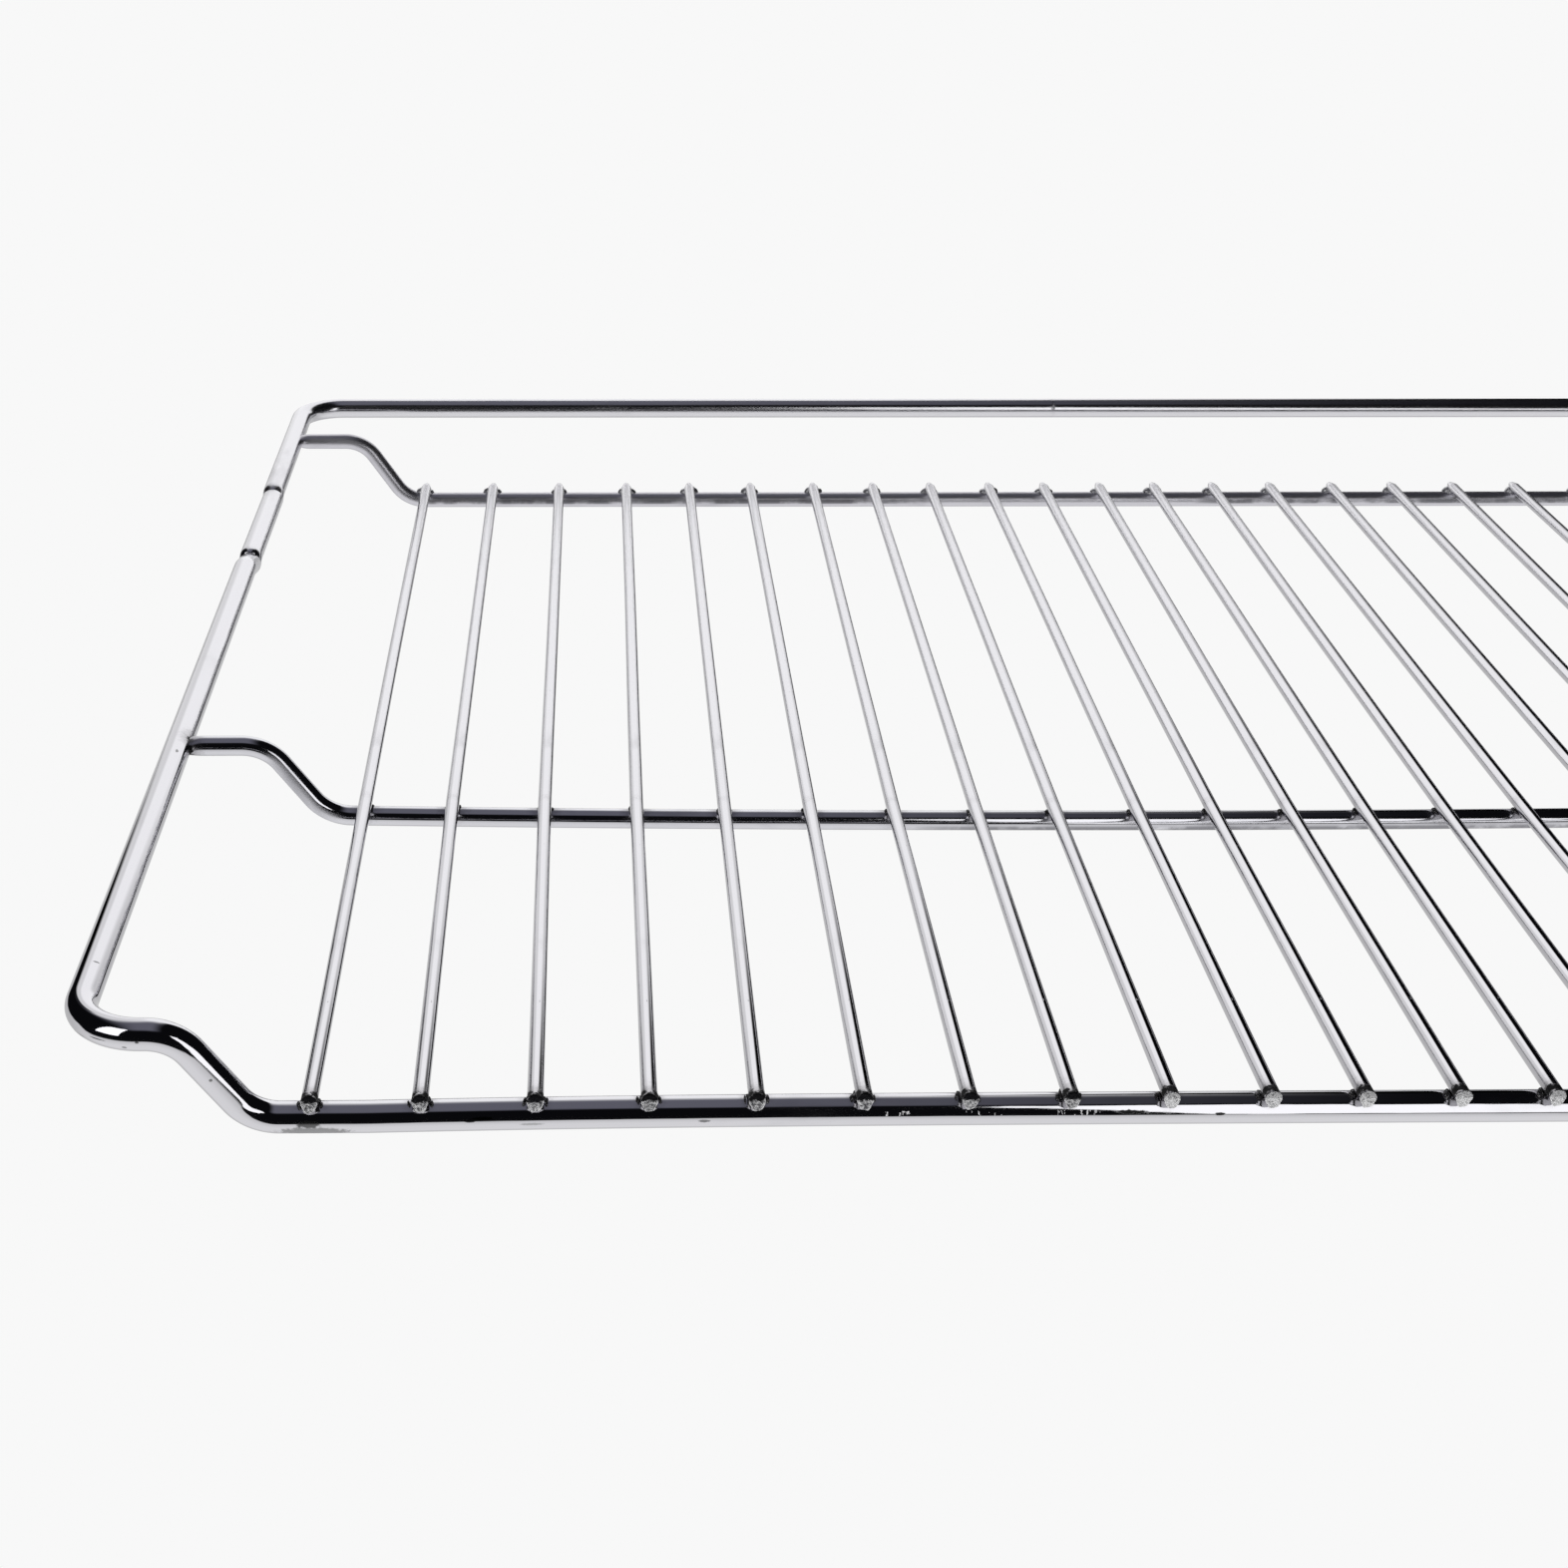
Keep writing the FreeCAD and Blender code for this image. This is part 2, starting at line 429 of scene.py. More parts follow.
def sheared_end_metal():
    """The torn face of a cut wire end: sooty above, bright torn metal below, with a shiny burr."""
    material, tree, shader = finish_start("sheared_end_metal")
    place = place_of(tree)
    x, _, _ = parts_of(tree, place)
    across, _, level = parts_of(tree, attribute_of(tree, "end_spot"))
    torn = noise_of(tree, place, 1900.0, 4.0, 0.7)
    # From the ninth wire on the ends are less sooty, and their torn metal is painted brighter, a painted
    # reflection of the light these ends catch.
    less_soot_painted_shine = ramp_of(tree, x, -0.056, -0.046)
    edge = noise_of(tree, place, 1100.0, 3.0, 0.65)
    ragged = add_share(tree, math_of(tree, "ADD", level, -0.75), edge, 1.5)
    burnt = product(tree, ramp_of(tree, ragged, 0.0, 0.24), add_share(tree, 1.0, less_soot_painted_shine, -0.70))
    # The 0.12 share is painted reflection: it lightens the torn metal from the ninth wire on.
    light = ramp_of(tree, add_share(tree, torn, less_soot_painted_shine, 0.12), 0.36, 0.66)
    grey = mix_colour(tree, light, (0.10, 0.10, 0.11, 1), (0.88, 0.88, 0.89, 1))
    burr = ramp_of(tree, vector_of(tree, "LENGTH", joined(tree, across, level)), 0.84, 0.98)
    grey = mix_colour(tree, product(tree, burr, 0.8), grey, (0.92, 0.92, 0.93, 1))
    finish_end(tree, shader, mix_colour(tree, burnt, grey, BLACK_SCALE), mix_value(tree, burnt, 0.26, 0.5),
               height=product(tree, torn, 0.5 * MM))
    return material


def plated_weld_metal():
    """A smooth weld that was plated over with the rest."""
    material, tree, shader = finish_start("plated_weld_metal")
    cloud = noise_of(tree, place_of(tree), 500.0, 3.0, 0.6)
    grey = mix_colour(tree, ramp_of(tree, cloud, 0.35, 0.7), (0.62, 0.62, 0.64, 1), (0.38, 0.38, 0.40, 1))
    finish_end(tree, shader, grey, mix_value(tree, cloud, 0.32, 0.50))
    return material


FRAME_WEAR = [
    ((-190.4, -188.4, 1.5), (7.5, 1.5, 1.3), 0.55, 0.28, 0.22),
    ((-191.0, -189.2, 3.0), (2.4, 1.0, 0.9), 0.55, 0.13, 0.15),
    ((-48.4, -187.3, 3.7), (3.4, 0.8, 0.42), 0.8, 0.02, 0.25),
    ((-43.7, -187.4, 3.35), (2.4, 0.8, 0.22), 0.7, 0.02, 0.25),
    ((-33.0, -187.5, 3.25), (1.1, 0.8, 0.34), 0.6, 0.03, 0.25),
    ((-160.9, -188.3, 3.6), (2.3, 0.7, 0.45), 0.6, 0.05, 0.10),
    ((-163.2, -188.4, 3.2), (1.2, 0.6, 0.35), 0.6, 0.05, 0.10),
    ((-152.6, -188.2, 2.4), (2.6, 0.6, 0.30), 0.6, 0.42, 0.10),
    ((-122.8, -187.6, 2.6), (1.2, 0.6, 0.40), 0.6, 0.22, 0.20),
    ((-229.2, -187.2, 20.3), (2.0, 2.0, 0.16), 0.5, 0.12, 0.10),
    ((-225.4, -190.6, 21.2), (2.2, 1.8, 0.16), 0.5, 0.12, 0.10),
    ((-220.6, -192.1, 20.3), (0.6, 0.5, 0.25), 0.7, 0.20, 0.20),
    ((-218.4, -192.5, 21.5), (0.4, 0.4, 0.25), 0.5, 0.12, 0.10),
    ((-206.8, -190.9, 13.1), (0.4, 0.5, 0.35), 0.5, 0.20, 0.20),
    ((-229.1, -168.9, 24.1), (0.8, 0.3, 0.40), 0.5, 0.20, 0.20),
    ((-228.7, -76.5, 24.1), (0.4, 0.9, 0.45), 0.6, 0.24, 0.20)]
RAIL_WEAR = [((-193.6, -69.8, 8.6), (0.5, 0.5, 0.5), 0.5, 0.10, 0.2)]
FRAME_CHROME = chrome_plate(
    "frame_chrome", (0.66, 0.655, 0.687, 1), (0.50, 0.496, 0.524, 1), rough=0.022, far_rough=0.16,
    marks={"Line scale": 2200.0, "Line stretch": 0.014, "Patch scale": 55.0, "Patch share": 0.56,
           "Pit scale": 800.0, "Pit share": 0.84, "Offset": 0.0},
    scorch={"Soot reach": 1.5 * MM, "Heat reach": 3.6 * MM, "Ragged": 1.2 * MM, "Grain": 1300.0},
    bump=(0.000003, 0.00004, 0.00004), wear=FRAME_WEAR,
    # Painted glints on small dents along the front rail, in this stretch of its length.
    dent_glints={"From": -0.093, "To": -0.0535, "Level": 0.26, "Band": 0.17, "Grain": 1500.0})
RAIL_CHROME = chrome_plate(
    "rail_chrome", (0.64, 0.638, 0.676, 1), (0.40, 0.399, 0.430, 1), rough=0.07, far_rough=0.0,
    marks={"Line scale": 2600.0, "Line stretch": 0.014, "Patch scale": 70.0, "Patch share": 0.53,
           "Pit scale": 900.0, "Pit share": 0.80, "Offset": 3.0},
    scorch={"Soot reach": 1.7 * MM, "Heat reach": 4.5 * MM, "Ragged": 1.2 * MM, "Grain": 1500.0},
    bump=(0.000002, 0.00005, 0.00002), wear=RAIL_WEAR, scuffed_slopes=True,
    # Painted dark reflection on the underside of the lowered run, from about x = -0.085 m rightwards.
    painted_reflection_strip={"middle": -0.193, "way": (0.108, 0.138),
                "upper edge": (0.0, -0.45), "lower edge": (-3.0, -2.0)})
BACK_RAIL_CHROME = chrome_plate(
    "back_rail_chrome", (0.61, 0.603, 0.645, 1), (0.45, 0.445, 0.482, 1), rough=0.34, far_rough=0.0,
    marks={"Line scale": 2600.0, "Line stretch": 0.014, "Patch scale": 70.0, "Patch share": 0.53,
           "Pit scale": 900.0, "Pit share": 0.78, "Offset": 5.0},
    scorch={"Soot reach": 1.3 * MM, "Heat reach": 4.0 * MM, "Ragged": 1.0 * MM, "Grain": 1500.0},
    bump=(0.0, 0.00002, 0.00002),
    # Painted dark reflection: a darker band at mid-height of the round, away from the rail's middle.
    painted_reflection_strip={"middle": -0.004, "way": (0.034, 0.054),
                "upper edge": (0.45, 0.15), "lower edge": (-0.45, -0.22)})
WIRE_CHROME = chrome_plate(
    "wire_chrome", (0.66, 0.655, 0.686, 1), (0.50, 0.496, 0.523, 1), rough=0.045, far_rough=0.20,
    marks={"Line scale": 3000.0, "Line stretch": 0.012, "Patch scale": 80.0, "Patch share": 0.56,
           "Pit scale": 1000.0, "Pit share": 0.75, "Offset": 7.0},
    scorch={"Soot reach": 1.5 * MM, "Heat reach": 3.6 * MM, "Ragged": 1.0 * MM, "Grain": 1700.0},
    bump=(0.0000025, 0.00003, 0.00003))
BURNT_WELD = burnt_weld_metal()
PLATED_WELD = plated_weld_metal()
SHEARED_END = sheared_end_metal()


# ---------------------------------------------------------------- shapes
def bent_wire_tree():
    """A round wire along a path of points, with its girth, its ring and its distance from the welds."""
    tree, given, made = group_tree(
        "bent_wire", "GeometryNodeTree",
        [("Path", GEOMETRY, None), ("Radius", FLOAT, 2.0 * MM), ("Sides", COUNT, 40), ("Sway", FLOAT, 0.0),
         ("Torn", FLOAT, 0.0), ("Droop", FLOAT, 0.0), ("Pinch", FLOAT, 0.0), ("Slant", FLOAT, 0.0),
         ("Seed", FLOAT, 0.0), ("Weld spots", OBJECT, None), ("Metal", MATERIAL, None),
         ("End metal", MATERIAL, None)],
        [("Wire", GEOMETRY)])
    line = add_node(tree, "GeometryNodeMeshToCurve", {"Mesh": given["Path"]}).outputs[0]
    along = add_node(tree, "GeometryNodeSplineParameter").outputs["Length"]
    # A long thin wire sways a little to its sides.
    swing = noise_of(tree, joined(tree, given["Seed"], along, 0.37), 7.0, 1.0, 0.4)
    sway = product(tree, math_of(tree, "SUBTRACT", swing, 0.5), given["Sway"])
    measured = store(tree, moved(tree, line, joined(tree, sway)), "along", along)
    cored = store(tree, measured, "centre", position(tree), "FLOAT_VECTOR")
    circle = add_node(tree, "GeometryNodeCurvePrimitiveCircle", {
        "Resolution": given["Sides"], "Radius": given["Radius"]}).outputs[0]
    ringed = store(tree, circle, "ring", position(tree), "FLOAT_VECTOR")
    tube = add_node(tree, "GeometryNodeCurveToMesh", {
        "Curve": cored, "Profile Curve": ringed, "Scale": stored(tree, "girth"),
        "Fill Caps": True}).outputs[0]
    # The sheared end: torn in and out along the wire, its lower lip dragged down.
    torn = stored(tree, "torn")
    spot = position(tree)
    shift = joined(tree, given["Seed"], given["Seed"])
    tear = push_of(tree, vector_of(tree, "ADD", spot, shift), 900.0, 3.0, 0.65,
                   product(tree, torn, given["Torn"]))
    off_core = vector_of(tree, "SUBTRACT", spot, stored(tree, "centre", "FLOAT_VECTOR"))
    off_x, _, off_z = parts_of(tree, off_core)
    level = math_of(tree, "DIVIDE", off_z, given["Radius"])
    low = math_of(tree, "MULTIPLY", level, -0.8, clamp=True)
    dragged = product(tree, off_z, add_share(tree, 1.0, low, given["Droop"]))
    burr = add_share(tree, product(tree, given["Radius"], -1.2), off_x, given["Slant"])
    sag = math_of(tree, "SUBTRACT", math_of(tree, "MAXIMUM", dragged, burr), off_z)
    pinch = product(tree, off_x, low, product(tree, given["Pinch"], -1.0))
    sheared = joined(tree, product(tree, pinch, torn), z=product(tree, sag, torn))
    on_end = vector_of(tree, "SCALE", off_core, scale=math_of(tree, "DIVIDE", 1.0, given["Radius"]))
    levelled = store(tree, tube, "end_spot", on_end, "FLOAT_VECTOR")
    shaped = moved(tree, levelled, vector_of(tree, "ADD", tear, sheared))
    welds = add_node(tree, "GeometryNodeObjectInfo", {"Object": given["Weld spots"]}).outputs["Geometry"]
    near = add_node(tree, "GeometryNodeProximity", {0: welds}, target_element="POINTS").outputs["Distance"]
    plated = coated(tree, store(tree, shaped, "weld_distance", near), given["Metal"])
    is_end = math_of(tree, "GREATER_THAN", stored(tree, "end_face"), 0.75)
    ended = add_node(tree, "GeometryNodeSetMaterial", {
        "Geometry": plated, "Selection": is_end, "Material": given["End metal"]})
    tree.links.new(ended.outputs[0], made["Wire"])
    return tree


def weld_bead_tree():
    """Squeezed-out weld metal: one lumpy bead at each spot, sized and turned a little differently."""
    tree, given, made = group_tree(
        "weld_beads", "GeometryNodeTree",
        [("Spots", GEOMETRY, None), ("Bead size", VECTOR, (0.6 * MM, 1.2 * MM, 0.8 * MM)),
         ("Lumps", FLOAT, 0.5 * MM), ("Lump scale", FLOAT, 900.0), ("Turn", FLOAT, 0.4), ("Seed", COUNT, 1),
         ("Metal", MATERIAL, None)],
        [("Beads", GEOMETRY)])
    ball = add_node(tree, "GeometryNodeMeshIcoSphere", {"Radius": 1.0, "Subdivisions": 2}).outputs[0]
    turn = add_node(tree, "FunctionNodeRandomValue", {
        0: vector_of(tree, "SCALE", (-1.0, -1.0, -1.0), scale=given["Turn"]),
        1: vector_of(tree, "SCALE", (1.0, 1.0, 1.0), scale=given["Turn"]),
        "Seed": given["Seed"]}, data_type="FLOAT_VECTOR").outputs[0]
    spin = add_node(tree, "FunctionNodeEulerToRotation", {0: turn}).outputs[0]
    grow = add_node(tree, "FunctionNodeRandomValue", {
        0: (0.75, 0.75, 0.75), 1: (1.2, 1.2, 1.2),
        "Seed": math_of(tree, "ADD", given["Seed"], 17.0)}, data_type="FLOAT_VECTOR").outputs[0]
    size = vector_of(tree, "MULTIPLY", given["Bead size"], grow)
    beads = add_node(tree, "GeometryNodeInstanceOnPoints", {
        "Points": given["Spots"], "Instance": ball, "Rotation": spin, "Scale": size}).outputs[0]
    real = add_node(tree, "GeometryNodeRealizeInstances", {"Geometry": beads}).outputs[0]
    lumps = push_of(tree, position(tree), given["Lump scale"], 3.0, 0.6, given["Lumps"])
    tree.links.new(coated(tree, moved(tree, real, lumps), given["Metal"]), made["Beads"])
    return tree


BENT_WIRE = bent_wire_tree()
WELD_BEADS = weld_bead_tree()


def new_object(name, data):
    placed = bpy.data.objects.new(name, data)
    bpy.context.scene.collection.objects.link(placed)
    return placed


def chain(points, closed=False):
    """Edges that join the points in a line, or in a loop."""
    count = len(points)
    return [(i, (i + 1) % count) for i in range(count if closed else count - 1)]


def made_piece(name, points, edges, tree, inputs, layers=None):
    """Runs a tree over points and edges, and keeps the result as a plain mesh."""
    path = bpy.data.meshes.new(name + "_path")
    path.from_pydata([tuple(p) for p in points], edges, [])
    for layer, values in (layers or {}).items():
        attribute = path.attributes.new(layer, "FLOAT", "POINT")
        attribute.data.foreach_set("value", values)
    maker = new_object(name + "_path", path)
    modifier = maker.modifiers.new("shape", "NODES")
    modifier.node_group = tree
    for socket in tree.interface.items_tree:
        if socket.in_out == "INPUT" and socket.name in inputs:
            modifier[socket.identifier] = inputs[socket.name]
    bpy.context.view_layer.update()
    depsgraph = bpy.context.evaluated_depsgraph_get()
    mesh = bpy.data.meshes.new_from_object(maker.evaluated_get(depsgraph), preserve_all_data_layers=True,
                                           depsgraph=depsgraph)
    mesh.name = name
    maker.modifiers.clear()
    bpy.data.objects.remove(maker)
    bpy.data.meshes.remove(path)
    return new_object(name, mesh)


def straight_to(points, end, step):
    start = points[-1]
    steps = max(1, math.ceil((end - start).length / step))
    points.extend(start.lerp(end, i / steps) for i in range(1, steps + 1))


def bent_path(corners, step):
    """Points along a wire that is bent at each corner, given as a place and a bend radius."""
    points = [Vector(corners[0][0])]
    for (before, _), (corner, radius), (after, _) in zip(corners, corners[1:], corners[2:]):
        before, corner, after = Vector(before), Vector(corner), Vector(after)
        inward, onward = (corner - before).normalized(), (after - corner).normalized()
        turn = inward.angle(onward)
        back = radius * math.tan(turn / 2)
        straight_to(points, corner - inward * back, step)
        if back < 1e-7:
            continue
        hub = corner + (onward - inward).normalized() * radius / math.cos(turn / 2)
        arm = points[-1] - hub
        axis = inward.cross(onward).normalized()
        parts = max(8, round(math.degrees(turn) / 4))
        points.extend(hub + Matrix.Rotation(turn * i / parts, 3, axis) @ arm for i in range(1, parts + 1))
    straight_to(points, Vector(corners[-1][0]), step)
    return points


# ---------------------------------------------------------------- weld places
WIRE_X = [middle_of(n).x for n in WIRE_NODES]
# Sideways lean of each thin wire at the front, middle and back rail, in tenths of a millimetre.
WIRE_LEAN = [
    (2, 3, 0), (-6, -8, 0), (-2, -5, 0), (3, 1, 8), (1, 2, 7), (2, 1, 3), (3, 0, 8), (2, 0, 8),
    (0, -3, 4), (6, 4, 8), (2, 0, 4), (4, 1, 5), (0, -4, 0), (2, -1, 5), (3, -2, 2), (2, 4, 8),
    (1, 3, 8), (4, 0, 6), (-2, 2, 3), (3, 1, -1), (-3, -1, 2), (1, 2, 3)]
WIRE_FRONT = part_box(WIRE_NODES[0])[0].y
WIRE_Z = middle_of(WIRE_NODES[0]).z
CROSSING_Z = WIRE_Z - WIRE_RADIUS


def lean_of(number, y):
    """Sideways offset of a thin wire, from its three rails."""
    front, middle, back = (v * 0.1 * MM for v in WIRE_LEAN[number])
    if y < MIDDLE_RAIL_Y:
        return front + (middle - front) * max(0.0, (y - FRONT_Y) / (MIDDLE_RAIL_Y - FRONT_Y))
    return middle + (back - middle) * min(1.0, (y - MIDDLE_RAIL_Y) / (BACK_RAIL_Y - MIDDLE_RAIL_Y))


def crossing_xs(y):
    return [x + lean_of(number, y) for number, x in enumerate(WIRE_X)]


def front_bow(x):
    """The front rail is bowed a little: back in the middle, forward at its ends."""
    return FRONT_BOW_MIDDLE - FRONT_BOW * min(1.0, abs(x) / LOW_RUN) ** 4


def middle_sag(x):
    """The middle rail has sagged under loads."""
    return RAIL_SAG * min(1.1, abs(x) / LOW_RUN) ** 2 - RAIL_SAG_MIDDLE


def side_lean(y):
    """The side bars lean inwards to the back."""
    return max(0.0, (y - BAR_LEAN_FROM) / BAR_LEAN_RUN) * BAR_LEAN


def joint_ring(y, side):
    """Places around the butted end of a cross rail, a little inside the side bar."""
    count, half_length, half_height, lowered, inside = 10, 2.5 * MM, 1.1 * MM, 0.4 * MM, 0.6 * MM
    places = []
    for turn in range(count):
        angle = math.tau * turn / count
        up = half_height * math.sin(angle) - lowered
        reach = math.sqrt(FRAME_RADIUS ** 2 - up ** 2) - inside
        across = SIDE_X - side_lean(y) - reach
        places.append(Vector((side * across, y + half_length * math.cos(angle), SIDE_Z + up)))
    return places


# Scorched places at a wire's front end: side in shares of a reach, then back and up in millimetres.
END_REACH = 1.35 * MM
SOOTY_END = ((-0.85, 1.5, 0.5), (0, 0.1, 1.2), (0.85, 1.5, 0.5))
BRIGHT_END = ((-0.7, 1.9, 0.6), (0, 1.5, 1.7), (0.7, 1.9, 0.6))
BRIGHT_WIRES = range(9, 15)

crossings = [Vector((x, FRONT_Y + front_bow(x), CROSSING_Z)) for x in crossing_xs(FRONT_Y)]
crossings += [Vector((x, MIDDLE_RAIL_Y, CROSSING_Z + middle_sag(x))) for x in crossing_xs(MIDDLE_RAIL_Y)]
side_joints = [place for side in (-1, 1) for place in joint_ring(MIDDLE_RAIL_Y, side)]
end_scorch = [Vector((x + side * END_REACH, WIRE_FRONT + back * MM, WIRE_Z + up * MM))
              for number, x in enumerate(crossing_xs(FRONT_Y), 1)
              for side, back, up in (BRIGHT_END if number in BRIGHT_WIRES else SOOTY_END)]
spot_mesh = bpy.data.meshes.new("weld_spots")
spot_mesh.from_pydata([tuple(p) for p in crossings + side_joints + end_scorch], [], [])
weld_spots = new_object("weld_spots", spot_mesh)


# ---------------------------------------------------------------- the pieces
def wire_rise(x, y):
    """Height that a thin wire gains or loses from the sagged middle rail."""
    if y < MIDDLE_RAIL_Y:
        share = (y - FRONT_Y) / (MIDDLE_RAIL_Y - FRONT_Y)
    else:
        share = (BACK_RAIL_Y - y) / (BACK_RAIL_Y - MIDDLE_RAIL_Y)
    share = max(0.0, share)
    return middle_sag(x) * share * share * (3 - 2 * share)


def outer_frame():
    """One thick wire bent to a closed loop."""
    slope = Vector((DROP_RUN, -FRONT_SETBACK, SIDE_Z - FRONT_Z))
    turn = slope.angle(Vector((1, 0, 0)))
    top_x = SIDE_X - CORNER_BEND - SHOULDER_RUN - FRAME_BEND * math.tan(turn / 2)
    notch = BACK_RAIL_Y - NOTCH_FROM_BACK_RAIL
    half = [
        ((top_x - DROP_RUN, FRONT_Y, FRONT_Z), FRAME_BEND),
        ((top_x, SHOULDER_Y, SIDE_Z), FRAME_BEND),
        ((SIDE_X, SHOULDER_Y, SIDE_Z), CORNER_BEND),
        *(((SIDE_X, notch + way * MM, SIDE_Z - depth * MM), bend * MM)
          for way, depth, bend in NOTCH_CREASES),
        ((SIDE_X, REAR_Y, SIDE_Z), CORNER_BEND),
    ]
    mirrored = [((-x, y, z), r) for (x, y, z), r in half]
    start = (0.0, REAR_Y, SIDE_Z)
    points = bent_path([(start, 0.0)] + half[::-1] + mirrored + [(start, 0.0)], 1.2 * MM)
    points.pop()
    for point in points:
        if point.y < FRONT_Y + 1.0 * MM:
            point.y += front_bow(point.x) * (SIDE_Z - point.z) / (SIDE_Z - FRONT_Z)
        if abs(point.x) > REAR_BAR_MIDDLE:
            point.x -= math.copysign(side_lean(point.y), point.x)
    piece = made_piece("outer_frame_wire", points, chain(points, closed=True), BENT_WIRE, {
        "Radius": FRAME_RADIUS, "Sides": 44, "Weld spots": weld_spots, "Metal": FRAME_CHROME,
        "End metal": SHEARED_END}, {"girth": [1.0] * len(points)})
    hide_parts("outer_frame")
    return piece


def cross_rail(node, y, shoulder, sag, metal):
    """A thinner wire dropped under the grid, its raised ends butted to the side bars."""
    bar_x = SIDE_X - side_lean(y)
    inner = bar_x - FRAME_RADIUS + 0.9 * MM
    turn = math.atan2(SIDE_Z - RAIL_Z, RAIL_DROP_RUN)
    bend_x = SIDE_X - shoulder - RAIL_BEND * math.tan(turn / 2)
    low_x = bend_x - RAIL_DROP_RUN
    half = [((inner, y, SIDE_Z), 0.0), ((bend_x, y, SIDE_Z), RAIL_BEND), ((low_x, y, RAIL_Z), RAIL_BEND)]
    mirrored = [((-px, py, pz), r) for (px, py, pz), r in reversed(half)]
    points = bent_path(half + mirrored, 1.0 * MM)
    for point in points:
        point.z += sag * middle_sag(point.x) * (SIDE_Z - point.z) / (SIDE_Z - RAIL_Z)
    piece = made_piece(node + "_wire", points, chain(points), BENT_WIRE, {
        "Radius": RAIL_RADIUS, "Sides": 36, "Weld spots": weld_spots, "Metal": metal,
        "End metal": SHEARED_END}, {"girth": [1.0] * len(points)})
    # The welded ends spread along the side bar, and their last rings follow its round.
    weld_run, flattened, spread, last_ring, sunk = 3.2 * MM, 0.28, 0.45, 0.2 * MM, 0.15 * MM
    for vertex in piece.data.vertices:
        x, out, z = vertex.co
        weld = max(0.0, 1.0 - (inner - abs(x)) / weld_run) ** 2
        if weld > 0.0:
            up = (z - SIDE_Z) * (1.0 - flattened * weld)
            vertex.co.y, vertex.co.z = y + (out - y) * (1.0 + spread * weld), SIDE_Z + up
            if abs(x) > inner - last_ring:
                reach = math.sqrt(FRAME_RADIUS ** 2 - up ** 2)
                vertex.co.x = math.copysign(bar_x - reach + sunk, x)
    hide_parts(node)
    return piece


# Rings of a thin wire, in millimetres; the face shares are parts of its girth on the sheared end
FACE_SHARES = (0.04, 0.25, 0.5, 0.72, 0.9)
FACE_BEHIND, FACE_EDGE_BEHIND = 0.30, 0.36      # the torn metal reaches forward from here
TORN_FROM, TORN_RUN = 0.4, 1.4
FINE_STEP, LONG_STEP, NEAR_RAIL = 0.7, 4.0, 7.0
BACK_RINGS = (4.2, 3.8, 3.4, 3.0, 2.6, 2.2, 1.8, 1.4, 1.0, 0.7, 0.45, 0.25, 0.12, 0.04)
BACK_TAPER, BACK_DOME = BACK_RINGS[0], 0.8


def grid_wire(number, node):
    """A thin wire, sheared at the front and pinched to a round point at the back."""
    low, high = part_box(node)
    x, front, back = (low.x + high.x) / 2, low.y, high.y
    chance = random.Random(100 + number)
    points, girth, torn, end_face = [], [], [], []

    def ring(y, size, tear=0.0, face=0.0):
        points.append(Vector((x + lean_of(number - 1, y), y, WIRE_Z + wire_rise(x, y))))
        girth.append(size)
        torn.append(tear)
        end_face.append(face)

    flare = 1.01 + 0.05 * chance.random()
    for step, size in enumerate(FACE_SHARES):
        ring(front + (FACE_BEHIND + 0.004 * step) * MM, size * flare, 1.0, 1.0)
    ring(front + FACE_EDGE_BEHIND * MM, 0.98 * flare, 1.0, 1.0)
    for away, size in ((0.5, flare), (0.8, flare), (1.2, 0.7 * flare + 0.3), (1.7, 1.01)):
        ring(front + away * MM, size, max(0.0, 1.0 - (away - TORN_FROM) / TORN_RUN))
    y = front + 2.4 * MM
    while y < back - 4.4 * MM:
        ring(y, 1.0)
        near = min(abs(y - rail_y) for rail_y in RAIL_YS)
        y += (FINE_STEP if near < NEAR_RAIL * MM else LONG_STEP) * MM
    for away in BACK_RINGS:
        taper = 0.42 + 0.58 * min(1.0, away / BACK_TAPER) ** 0.85
        ring(back - away * MM, taper * math.sqrt(1 - (1 - min(1.0, away / BACK_DOME)) ** 2))
    ring(back, 0.05)
    piece = made_piece(node + "_bar", points, chain(points), BENT_WIRE, {
        "Radius": WIRE_RADIUS, "Sides": 32, "Sway": 0.3 * MM, "Torn": 0.5 * MM, "Droop": 0.7,
        "Pinch": 0.26 + 0.16 * chance.random(), "Slant": 0.5 * (chance.random() - 0.5),
        "Seed": 3.7 * number, "Weld spots": weld_spots, "Metal": WIRE_CHROME, "End metal": SHEARED_END},
        {"girth": girth, "torn": torn, "end_face": end_face})
    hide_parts(node)
    return piece


def crossing_welds(name, rail_y, out, rise, size, lumps, seed, metal, sag=0.0, bow=0.0, left_only=()):
    """Weld metal on both sides of every thin wire where it crosses a rail; sizes in millimetres."""
    spots = [Vector((x + side * out * MM, rail_y + bow * front_bow(x),
                     CROSSING_Z + rise * MM + sag * middle_sag(x)))
             for number, x in enumerate(crossing_xs(rail_y), 1)
             for side in ((-1,) if number in left_only else (-1, 1))]
    return made_piece(name, spots, [], WELD_BEADS, {
        "Bead size": [length * MM for length in size], "Lumps": lumps * MM, "Lump scale": 1100.0,
        "Turn": 0.35, "Seed": seed, "Metal": metal})


